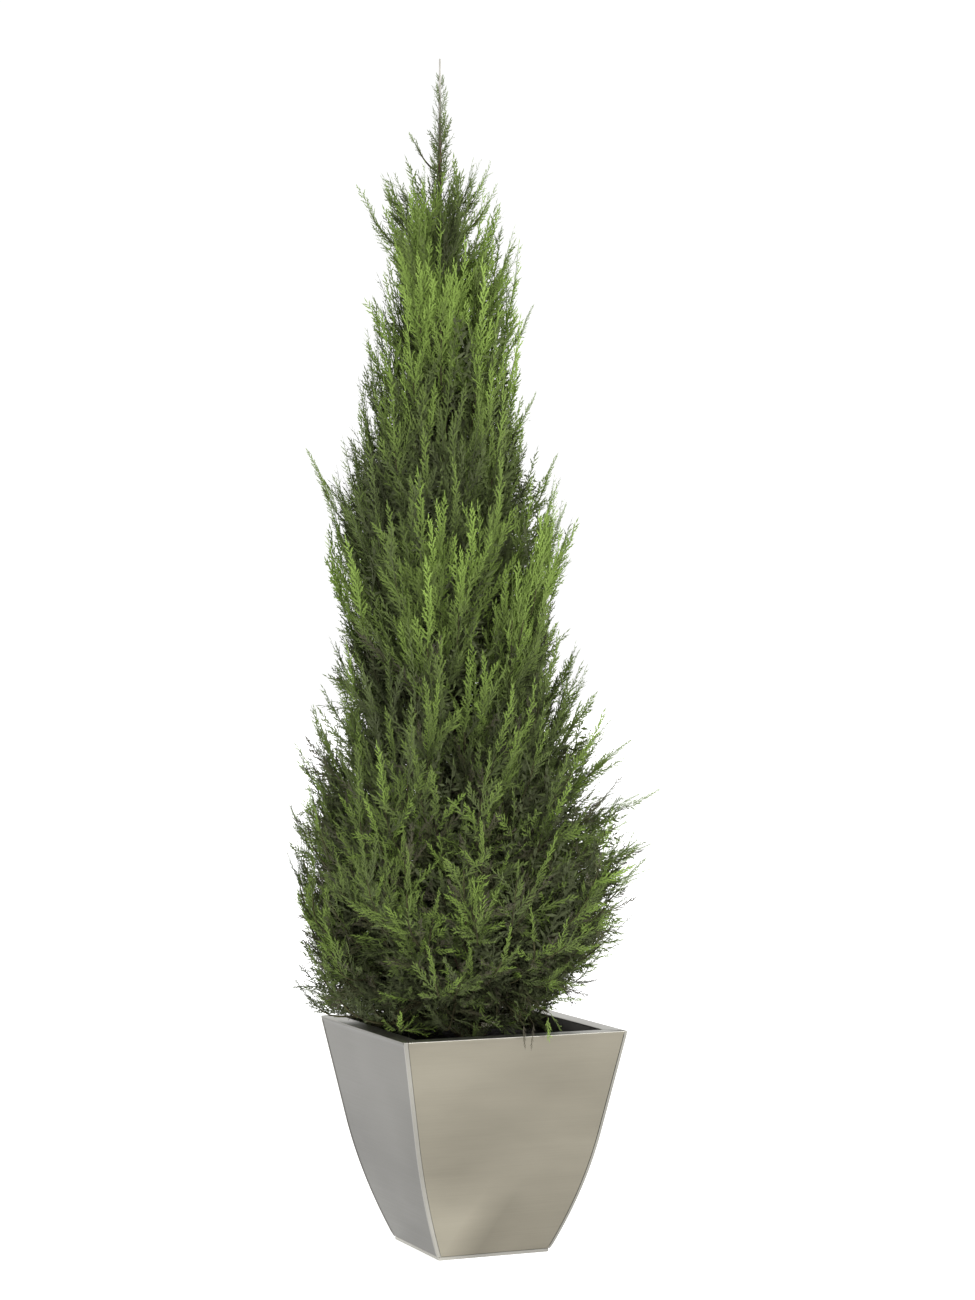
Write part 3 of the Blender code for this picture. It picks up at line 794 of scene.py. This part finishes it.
def dress(line, mass, first, mood, free=False):
    """Sets sprays along the outer part of a limb, from side to side. Returns what a last one there needs."""
    total = sum((b - a).length for a, b in zip(line, line[1:]))
    low = foot_share(line[-1].z)
    count = max(4, int(total * (1 - first) / (SPRAY_SPACING - 0.0024 * low)))
    for j in range(1, count + 1):
        s = 1 - (1 - first) * j / count
        place, tangent, out, depth = along_line(line, s)
        bearing = bearing_of(out)
        fan = chance.random() < low * (0.42 + 0.48 * cos(radians(bearing)))
        level = tangent.cross(out)
        level = level.normalized() if level.length > 0.05 else out.cross(UP)
        outward = level.cross(tangent).normalized()
        outward *= 1 if outward.dot(out) > 0 else -1
        turn = radians(between(-50, 50))
        side = level * (1 if j % 2 else -1) * cos(turn) + outward * sin(turn)
        spread = radians(between(6, 22 + 20 * low) + 14 * low)
        along = tangent * cos(spread) + side * sin(spread)
        size = between(0.66 - 0.16 * low, 1.08) * (1 - 0.14 * low)
        kind = chance.choice(FANS if fan else PLUMES + (LEADER,))
        furrow = swell(place.z, bearing) * abs(sin(radians(bearing))) < -0.35 or place.z < 0.44
        if furrow and chance.random() < GAPS and not free:
            continue
        if free:
            kind, size = TUFT, between(0.6, 1.2) * (0.55 + 0.6 * (1 - s) / (1 - first))
            size *= 0.55 if place.z > 1.838 else 1.4 if place.z < 1.1 else 1
        facing = outward + UP * (0.6 if fan else 0.15)
        add_spray(mass, place, along, facing, size, kind, tint_at(place, depth, mood), free=free)
    place, tangent, out, depth = along_line(line, 1)
    return place, tangent, out, min(4, tint_at(place, depth, mood) + int(low < 0.5))


def clothe(line, mass, first, mood, length):
    """Dresses a limb and ends it in a leading spray of this length."""
    place, tangent, out, tint = dress(line, mass, first, mood)
    add_spray(mass, place, tangent, out, length / SPRAY_LENGTHS[LEADER], LEADER, tint)


def fill(line, mass):
    """Old growth near the stem, dark with painted shade, which shuts out most of the light from behind."""
    low = line[-1].z < 0.52
    for s in FILLED:
        place, tangent, out, _ = along_line(line, s / 100)
        rise = between(-0.6, 0.5) if low else between(0.2, 1.0)
        along = tangent + UP * rise + out.cross(UP) * between(-1.2, 1.2)
        tint = int(chance.random() < 0.5 * smooth((place.z - 0.6) / 0.3))
        tint += chance.random() < place.z - 1.2
        add_spray(mass, place, along, out, between(0.8, 1.25), SHADE, tint, 0.2, limit=0.86)


def fork(line, bearing, z, thin, mood):
    """Side branches of a limb, each reaching its own place in the crown."""
    for number, start in enumerate(FORKS):
        at = int(start * (len(line) - 1))
        side = 1 if number % 2 else -1
        width = degrees(FORK_SPREAD / max(0.05, crown_radius(z, bearing)))
        other = bearing + width * side * between(0.5, 1.3)
        height = clip(z - between(-0.045, 0.110), LOWEST, HIGHEST)
        length = between(0.75, 1.10) * (0.125 - 0.060 * foot_share(height))
        end, way = aim(height, other, length, between(0.80, 1.04))
        leaving = (line[at + 1] - line[at]).normalized()
        branch = grow("twigs", line[at], leaving, end, way, 9, thin, FORK_TIP)
        clothe(branch, mass_at(height, other), 0.35, mood + chance.gauss(0, 0.45), length)


areas = [0.0]
steps = [LOWEST + (HIGHEST - LOWEST) * i / STEPS for i in range(STEPS + 1)]
for z in steps:
    crowded = 0.018 + 0.25 * max(0, 0.47 - z) + 0.10 * smooth((z - 1.66) / 0.08)  # at the foot and the top
    drawn_in = max(0, crown_radius(z - 0.04, 0) - crown_radius(z + 0.02, 0))  # where the outline steps in
    areas.append(areas[-1] + crown_radius(z, 90) * (1 + 0.5 * foot_share(z)) + crowded + 1.2 * drawn_in)
for i in range(LIMBS):
    z = steps[min(STEPS, bisect.bisect(areas, areas[-1] * (i + 0.5) / LIMBS))]
    bearing = i * GOLDEN_ANGLE + between(-10, 10)
    length = between(0.9, 1.15) * (0.135 - 0.065 * foot_share(z))
    mood = chance.gauss(0, 0.36 - 0.16 * foot_share(z))
    end, way = aim(z, bearing, length, between(0.94, 1.04))
    rise = 0.02 + 0.24 * smooth((z - 0.42) / 0.5)
    root = trunk_axis(max(TRUNK_FOOT + 0.012, end.z - rise))
    lift = radians(10 + 40 * smooth((z - 0.5) / 0.8))
    thick = trunk_radius(root.z) * LIMB_SHARE
    line = grow("limbs", root, raised(direction(bearing), lift), end, way, 14, thick, LIMB_TIP)
    mass = mass_at(z, bearing)
    clothe(line, mass, 0.32, mood, length)
    if z < 1.70:
        fill(line, mass)
    fork(line, bearing, z, thick * 0.55, mood)

for layer, count in BOUGHS:
    for number in range(1, count + 1):
        corners = [v.co.copy() for v in bpy.data.objects[f"bough_{layer}_{number}"].data.vertices]
        reach = [(c - trunk_axis(c.z)).length for c in corners]
        inner = [c for c, r in zip(corners, reach) if r < min(reach) + 0.008]
        outer = [c for c, r in zip(corners, reach) if r > max(reach) - 0.008]
        root, seat = sum(inner, Vector()) / len(inner), sum(outer, Vector()) / len(outer)
        bearing = bearing_of(seat - trunk_axis(seat.z))
        z = seat.z + 0.10 + 0.06 * chance.random()
        end, way = aim(z, bearing, 0.12, 0.97)
        leaving = (seat - root).normalized()
        first = [(root - leaving * 0.006).lerp(seat, i / 5) for i in range(5)]
        thick = trunk_radius(root.z) * BOUGH_SHARE
        line = grow("boughs", seat, leaving, end, way, 10, thick, LIMB_TIP, 0.7, first)
        mass = mass_at(z, bearing)
        clothe(line, mass, 0.40, 0.0, 0.9 * SPRAY_LENGTHS[LEADER])
        fill(line, mass)

for shoot in LONG_SHOOTS:
    across, height, toward, free_length = (size / 1000 for size in shoot)
    tip = direction(0) * across + direction(90) * toward + UP * height
    spoke = tip - trunk_axis(height)
    bearing = bearing_of(spoke)
    out = direction(bearing)
    way = raised(out, radians(max(14, steepness(height, bearing) - 8))).normalized()
    end = tip - way * free_length * 0.5
    root = trunk_axis(max(TRUNK_FOOT + 0.02, end.z - 0.25 * free_length - 0.6 * spoke.length))
    line = grow("twigs", root, (out + UP * 0.6).normalized(), end, way, 12, 0.0022, TWIG_TIP)
    mass = mass_at(height, bearing)
    thin = height > WHIP_FROM
    mood = 0.6 if across > 0 and 1.6 < height < 1.8 else -2.0 if thin else -0.3
    place, tangent, out, tint = dress(line, mass, 0.55 if thin else 0.28, mood, free=True)
    kind = TUFT if thin else SPRIG if height > 1.66 else LEADER
    size = free_length * (0.25 if thin else 0.5) / SPRAY_LENGTHS[kind]
    add_spray(mass, place, tangent, out, size, kind, min(tint, 3), 0.9, free=True)
    if not thin:
        for turn in (-1, 1):
            aside = tangent + out.cross(UP) * 0.45 * turn + UP * between(-0.1, 0.3)
            start = line[-2] if turn > 0 else line[-3]
            add_spray(mass, start, aside, out, size * 0.85, kind, min(tint, 3), 0.9, free=True)

for place, way, size, kind, tint in RIM_SHOOTS:
    place, way = Vector([size / 1000 for size in place]), Vector(way)
    over = Vector((way.x, way.y, 0)).normalized() if abs(way.z) < 0.9 else Vector((0, -1, 0))
    leaving, arriving = (over + UP * 0.9).normalized(), (over * 0.5 - UP * 0.3).normalized()
    grow("twigs", trunk_axis(0.40), leaving, place, arriving, 10, 0.0016, TWIG_TIP)
    add_spray("foliage_skirt_4", place, way, over + UP * 0.3, size, kind, tint, 0.2, free=True)


# ---------------- leading shoot
# Above the last limbs the stem is a single pale whip. Short side shoots stand close against it, and they get
# shorter to the very tip, which is bare for its last few centimetres.

SPIRE_FROM = 1.68
SPIRE_TO = 1.985
SPIRE_SHOOTS = 104

for i in range(SPIRE_SHOOTS):
    t = i / SPIRE_SHOOTS
    z = SPIRE_FROM + (SPIRE_TO - SPIRE_FROM) * t
    out = direction(i * GOLDEN_ANGLE + between(-25, 25))
    along = out * (0.66 - 0.14 * t + between(-0.25, 0.25)) + UP
    kind = chance.choice((TUFT, TUFT, SPRIG))
    size = (0.042 * (1 - t) ** 0.6 + 0.009) * between(0.6, 1.15) / SPRAY_LENGTHS[kind]
    tint = round(clip(0.5 + 0.9 * t + chance.gauss(0, 0.8), 0, 3))
    place = trunk_axis(z) + out * trunk_radius(z)
    add_spray("foliage_spire", place, along, out, size, kind, tint, 1.0, free=True)


# ---------------- old growth round the foot
# Weak twigs with dull, shaded sprays stand between the stem and the lowest limbs. They close the view across
# the planter's opening under the crown.

FOOT_TWIGS = 120

for i in range(FOOT_TWIGS):
    share = i / FOOT_TWIGS
    bearing = i * GOLDEN_ANGLE + between(-20, 20)
    out = direction(bearing)
    z = 0.376 + 0.070 * share
    place = trunk_axis(z) + out * crown_radius(z, bearing) * between(0.25, 0.72)
    along = out * 0.4 + out.cross(UP) * between(-1, 1) + UP * between(0.1, 0.7)
    root = trunk_axis(TRUNK_FOOT + 0.02 + 0.04 * share)
    line = grow("twigs", root, (out + UP * 0.5).normalized(), place, along.normalized(), 6, 0.0015, TWIG_TIP)
    size = between(0.55, 0.85)
    add_spray(mass_at(z, bearing), line[-1], along, out, size, SHADE, 0, 0.3, limit=0.90)


# ---------------- boughs, limbs and twigs
# Round, tapering limbs, thin and smooth towards their ends. The boughs have the trunk's ridged bark, and the
# rest a young, green-brown one. The thinnest are no more than wires under the leaves.

young_twig = Finish("twig_green_brown", {"Roughness": 0.9, "Specular IOR Level": 0.15})
twig_tone = young_twig.noise(90.0)
young_twig.drive("Base Color", young_twig.ramp(
    twig_tone, (0.35, (0.030, 0.028, 0.014)), (0.65, (0.064, 0.060, 0.026)),
))

limb_tree = Recipe("limbs", {"Sides": "Int", "Relief": "Float", "Bark": "Material"})
ring = limb_tree.add("GeometryNodeCurvePrimitiveCircle", {
    "Resolution": limb_tree.input("Sides"), "Radius": 1.0,
}, mode="RADIUS")
wall = limb_tree.add("GeometryNodeCurveToMesh", {
    "Curve": limb_tree.input("Geometry"), "Profile Curve": ring,
    "Scale": limb_tree.add("GeometryNodeInputRadius"), "Fill Caps": True,
})
ridges = limb_tree.add("ShaderNodeTexNoise", {
    "Vector": limb_tree.add("GeometryNodeInputPosition"), "Scale": 240.0, "Detail": 2.0,
})
swelling = (ridges - 0.5) * limb_tree.input("Relief") * limb_tree.named("radius")
push = limb_tree.add("ShaderNodeVectorMath", {
    0: limb_tree.add("GeometryNodeInputNormal"), "Scale": swelling,
}, operation="SCALE")
ridged = limb_tree.add("GeometryNodeSetPosition", {"Geometry": wall, "Offset": push})
limb_tree.result(ridged, limb_tree.input("Bark"))

for name, sides, relief, finish in (
    ("boughs", 12, 0.5, bark), ("limbs", 7, 0.3, young_twig), ("twigs", 4, 0.0, young_twig),
):
    curve = bpy.data.curves.new(name, "CURVE")
    curve.dimensions = "3D"
    for line, radii in limb_lines[name]:
        spline = curve.splines.new("POLY")
        spline.points.add(len(line) - 1)
        for point, place, radius in zip(spline.points, line, radii):
            point.co = (*place, 1)
            point.radius = radius
    values = {"Sides": sides, "Relief": relief, "Bark": finish.material}
    limb = limb_tree.make(f"{name}_bark", in_scene(name, curve), values)
    limb.data.shade_smooth()
    if name == "boughs":
        settle(limb, "bark", *(f"bough_{layer}_{k}" for layer, count in BOUGHS for k in range(1, count + 1)))
    else:
        settle(limb, "bark")


# ---------------- leaves
# Scale leaves clothe fine branchlets that lie in flat, fern-like sprays. New growth at the ends is
# yellow-green, the older leaf dull green, and what stands in the crown's shade is dark.

GREENS = (
    (0.075, 0.088, 0.043), (0.090, 0.117, 0.042), (0.110, 0.150, 0.043),
    (0.134, 0.190, 0.046), (0.166, 0.243, 0.052), (0.215, 0.312, 0.068),
    (0.067, 0.070, 0.038), (0.088, 0.094, 0.046),
)
STEM_BROWN = (0.050, 0.044, 0.025, 1)
YOUNG_FROM = 0.45  # beyond this share of a spray's length its leaves are a lighter green
LEAF_STEP = 0.0040  # from one leaf to the next along a branchlet
LEAF_FOOT = 0.0042
LEAF_WIDTH = 0.0013
OLD_LEAF_WIDTH = 0.0023
KINDS = (  # reach of the longest branchlet, its angle, spacing, arch, droop and sway
    (0.0165, 35, 0.0044, 0.006, 0.00, 0.006), (0.0195, 39, 0.0046, -0.006, 0.02, -0.007),
    (0.0150, 33, 0.0043, 0.009, 0.00, -0.006), (0.0180, 40, 0.0044, 0.006, 0.04, 0.006),
    (0.0140, 36, 0.0042, 0.010, 0.06, 0.005), (0.0165, 41, 0.0044, 0.012, 0.12, -0.005),
    (0.0130, 33, 0.0042, 0.008, 0.04, -0.006), (0.0165, 42, 0.0044, 0.014, 0.18, 0.004),
    (0.0150, 31, 0.0044, 0.006, 0.00, 0.007), (0.0250, 45, 0.0035, 0.010, 0.00, 0.004),
    (0.0090, 34, 0.0036, 0.003, 0.00, 0.003), (0.0240, 38, 0.0085, 0.004, 0.00, 0.005),
)


class Spray:
    """A flat spray along +Y that faces +Z, made of one stem, its branchlets and their leaves."""

    def __init__(self, kind, length, reach, angle, spacing, arch, droop, sway):
        self.chance = random.Random(kind)
        self.points = []
        self.length, self.arch, self.sway = length, arch, sway
        self.stem()
        fanned, lifted = (30, 0.9) if kind == SHADE else (8, 0.34)  # how unevenly the branchlets stand
        y, side = 0.02 * length + 0.004, 1
        while y < 0.97 * length:
            t = y / length
            fullness = (0.50 + 0.50 * min(1.0, t / 0.20)) * (1 - t) ** 0.60
            long = reach * fullness * self.chance.choice((0.62, 0.85, 0.95, 1.05, 1.22)) + 0.006
            a = radians(angle * (1 - 0.32 * t) + self.chance.gauss(0, fanned))
            way = Vector((side * sin(a), cos(a), self.chance.gauss(0, lifted) - droop)).normalized()
            if kind == SHADE:
                self.leaf(self.at(t), way, long, OLD_LEAF_WIDTH, 0)
            else:
                self.branchlet(self.at(t), way, long, side, t)
            y += spacing * self.chance.uniform(0.85, 1.15)
            side = -side
        self.leaf(self.at(1.0), Vector((0, 1, 0)), 0.014, LEAF_WIDTH, 1)

    def at(self, t):
        return Vector((self.sway * sin(2.6 * t), t * self.length, -self.arch * t * t))

    def stem(self):
        for i in range(3):
            t = i / 2
            thick = 0.0010 * (1 - t) + 0.0003
            for k in range(3):
                a = 2 * pi * k / 3
                self.points.append(self.at(t) + Vector((thick * cos(a), 0, thick * sin(a))))
        self.faces = [(a, d, c, b) for a, b, c, d in lattice(3, 3, columns_close=True)]
        self.parts = [-1] * len(self.faces)

    def across(self, way, uneven, width):
        return Vector((way.y, -way.x, self.chance.gauss(0, uneven))).normalized() * width

    def blade(self, corners, part):
        """Four corners of a leaf or ribbon, whose part is 0 for old green and 1 for young."""
        start = len(self.points)
        self.points += corners
        self.faces.append((start, start + 1, start + 2, start + 3))
        self.parts.append(part)

    def leaf(self, base, way, size, width, part):
        """A pointed leaf, widest before its middle."""
        across = self.across(way, 0.30, width)
        middle = base + way * size * 0.42
        self.blade([base, middle + across, base + way * size, middle - across], part)

    def branchlet(self, base, way, long, side, t):
        """A tapering ribbon with scale leaves standing forward from both its edges."""
        bend = Vector((-side * 0.24, 0.10, 0))
        count = max(2, int(long / LEAF_STEP))

        def along(u):
            return base + way * long * u + bend * long * u * u * 0.5

        across = self.across(way, 0.15, LEAF_WIDTH)
        ribbon = [along(0), along(0.5) + across, along(1) + way * 0.006, along(0.5) - across]
        self.blade(ribbon, int(t > YOUNG_FROM))
        for k in range(count):
            u = (k + 0.3) / count
            edge = 1 if k % 2 else -1
            here = (way + bend * u).normalized()
            a = radians(self.chance.uniform(28, 42)) * edge
            turned = Vector((here.x * cos(a) - here.y * sin(a), here.x * sin(a) + here.y * cos(a), here.z))
            foot = along(u)
            tip = foot + turned * self.chance.uniform(0.0050, 0.0068) * (1.15 - 0.35 * u)
            tip.z += self.chance.gauss(0, 0.0008)
            start = len(self.points)
            self.points += [foot, foot + here * LEAF_FOOT, tip]
            self.faces.append((start, start + 1, start + 2) if edge < 0 else (start + 1, start, start + 2))
            self.parts.append(int(u > 0.5 and t > YOUNG_FROM))


greens = []
for number, colour in enumerate(GREENS):
    sheen = {"Base Color": (*colour, 1), "Roughness": 0.75, "Specular IOR Level": 0.08}
    greens.append(Finish(f"leaf_green_{number + 1}", sheen))
brown = Finish("leaf_stem", {"Base Color": STEM_BROWN, "Roughness": 0.8})

kinds = bpy.data.collections.new("spray_kinds")
for number, sizes in enumerate(KINDS):
    spray = Spray(number, SPRAY_LENGTHS[number], *sizes)
    mesh = bpy.data.meshes.new(f"spray_{number:02d}")
    mesh.from_pydata([tuple(p) for p in spray.points], [], spray.faces)
    mesh.attributes.new("part", "INT", "FACE").data.foreach_set("value", spray.parts)
    kinds.objects.link(bpy.data.objects.new(mesh.name, mesh))

leaf_tree = Recipe("leaves", {"Kinds": "Collection"})
pick = leaf_tree.add("GeometryNodeCollectionInfo", {
    "Collection": leaf_tree.input("Kinds"), "Separate Children": True, "Reset Children": True,
})
placed = leaf_tree.add("GeometryNodeInstanceOnPoints", {
    "Points": leaf_tree.input("Geometry"), "Instance": pick, "Pick Instance": True,
    "Instance Index": leaf_tree.named("kind", "INT"), "Rotation": leaf_tree.named("turn", "QUATERNION"),
    "Scale": leaf_tree.named("size"),
})
dressed = leaf_tree.add("GeometryNodeRealizeInstances", {"Geometry": placed})
shade = leaf_tree.named("tint", "INT") + leaf_tree.named("part", "INT")
choices = [(float(number), "EQUAL", green) for number, green in enumerate(greens)]
choices += [(0.5, "LESS_THAN", greens[0]), (len(greens) - 0.5, "GREATER_THAN", brown)]
for number, operation, finish in choices:
    dressed = leaf_tree.add("GeometryNodeSetMaterial", {
        "Geometry": dressed, "Selection": leaf_tree.compare(shade, number, operation),
        "Material": finish.material,
    })
leaf_tree.output(dressed)

for mass in sorted(sprays):
    places, turns, sizes, kind_numbers, tints = zip(*sprays[mass])
    cloud = bpy.data.meshes.new(mass)
    cloud.from_pydata([tuple(place) for place in places], [], [])
    for label, kind, values in (
        ("turn", "QUATERNION", [x for turn in turns for x in turn]), ("size", "FLOAT", sizes),
        ("kind", "INT", kind_numbers), ("tint", "INT", tints),
    ):
        cloud.attributes.new(label, kind, "POINT").data.foreach_set("value", values)
    leaves = leaf_tree.make(mass.replace("foliage", "leaves"), in_scene(mass, cloud), {"Kinds": kinds})
    settle(leaves, "foliage", mass)
for spray in list(kinds.objects):
    bpy.data.objects.remove(spray)
bpy.data.collections.remove(kinds)


# ---------------- floor, light and camera
# A white studio floor and a white surround. A broad high light and a soft lamp stand in front on the right,
# and a weaker lamp fills from the left. The camera stands level, back from the tree, at half its height.

CAMERA_BACK = Vector((-0.3915, -0.9202, 0))
CAMERA_RIGHT = Vector((0.9202, -0.3915, 0))

floor_finish = Finish("floor_white", {
    "Base Color": (0.62, 0.62, 0.62, 1), "Roughness": 0.9, "Specular IOR Level": 0.1,
    "Emission Color": (1, 1, 1, 1), "Emission Strength": 0.80,
})
mesh = bpy.data.meshes.new("floor")
mesh.from_pydata([(-40, -40, 0), (40, -40, 0), (40, 40, 0), (-40, 40, 0)], [], [(0, 1, 2, 3)])
mesh.materials.append(floor_finish.material)
in_scene("floor", mesh)

scene = bpy.context.scene
world = bpy.data.worlds.new("surround")
world.use_nodes = True
scene.world = world
world.node_tree.nodes["Background"].inputs["Color"].default_value = (1, 1, 1, 1)
world.node_tree.nodes["Background"].inputs["Strength"].default_value = 1.05


def seen_from_camera(back, right, up):
    """A place counted from the plant's foot: back to the camera, to the camera's right, and up."""
    return CAMERA_BACK * back + CAMERA_RIGHT * right + UP * up


def set_up(name, data, place, facing):
    """Stands a light or the camera at a place, facing one way."""
    thing = in_scene(name, data)
    thing.location = place
    thing.rotation_mode = "QUATERNION"
    thing.rotation_quaternion = facing.to_track_quat("-Z", "Y")
    return thing


def soft_light(name, place, size, power, colour):
    lamp = bpy.data.lights.new(name, "AREA")
    lamp.shape = "RECTANGLE"
    lamp.size, lamp.size_y = size
    lamp.energy = power
    lamp.color = colour
    set_up(name, lamp, place, UP - place)


high_light = bpy.data.lights.new("high_light", "SUN")
high_light.energy = 1.6
high_light.angle = radians(50)
set_up("high_light", high_light, (0, 0, 0), -seen_from_camera(0.55, 1.0, 1.15))
soft_light("key", seen_from_camera(2.6, 2.4, 3.2), (1.4, 1.4), 50, (1.0, 0.985, 0.96))
soft_light("fill", seen_from_camera(3.0, -3.0, 1.8), (2.0, 2.6), 25, (0.96, 0.98, 1.0))

scene.view_settings.view_transform = "Standard"
lens = bpy.data.cameras.new("camera")
lens.lens = 83.08
lens.sensor_width = 36
scene.camera = set_up("camera", lens, seen_from_camera(5.10, 0.028, 1.012), -CAMERA_BACK)

bpy.context.view_layer.update()
